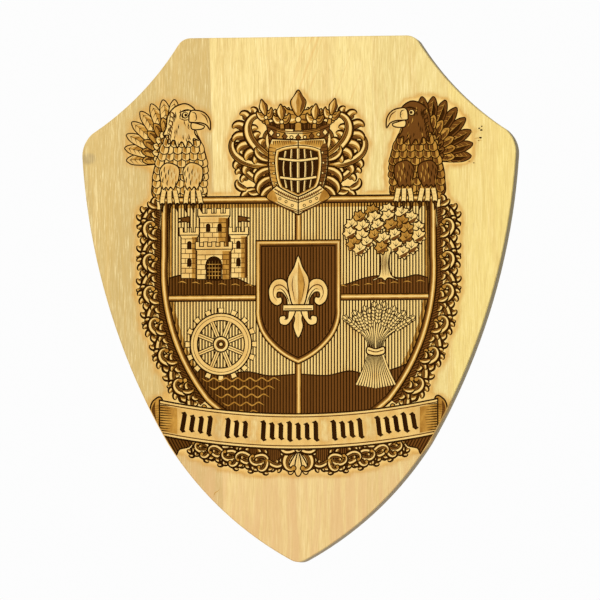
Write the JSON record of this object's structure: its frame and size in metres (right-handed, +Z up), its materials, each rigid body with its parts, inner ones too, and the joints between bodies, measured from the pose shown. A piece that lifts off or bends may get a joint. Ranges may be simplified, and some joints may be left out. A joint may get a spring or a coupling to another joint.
{
  "type": "heraldic shield wall plaque",
  "caption": "Flat wooden wall plaque sawn to a shield outline with scooped upper corners, engraved on its front, with a keyhole slot in its back.",
  "frame": {"origin": "middle of the flat back face, on the plaque's centre line at half its height, where it lies against the wall", "axes": "+Z up the plaque, +Y into the wall, -Y out of the engraved front face, +X to the viewer's right"},
  "size_m": [0.303, 0.018, 0.363],
  "materials": {
    "engraved_wood": "bare sanded pale wood, laser-engraved in brown on the front"
  },
  "bodies": {
    "root": {"shield_board": "engraved_wood"}
  },
  "joints": []
}
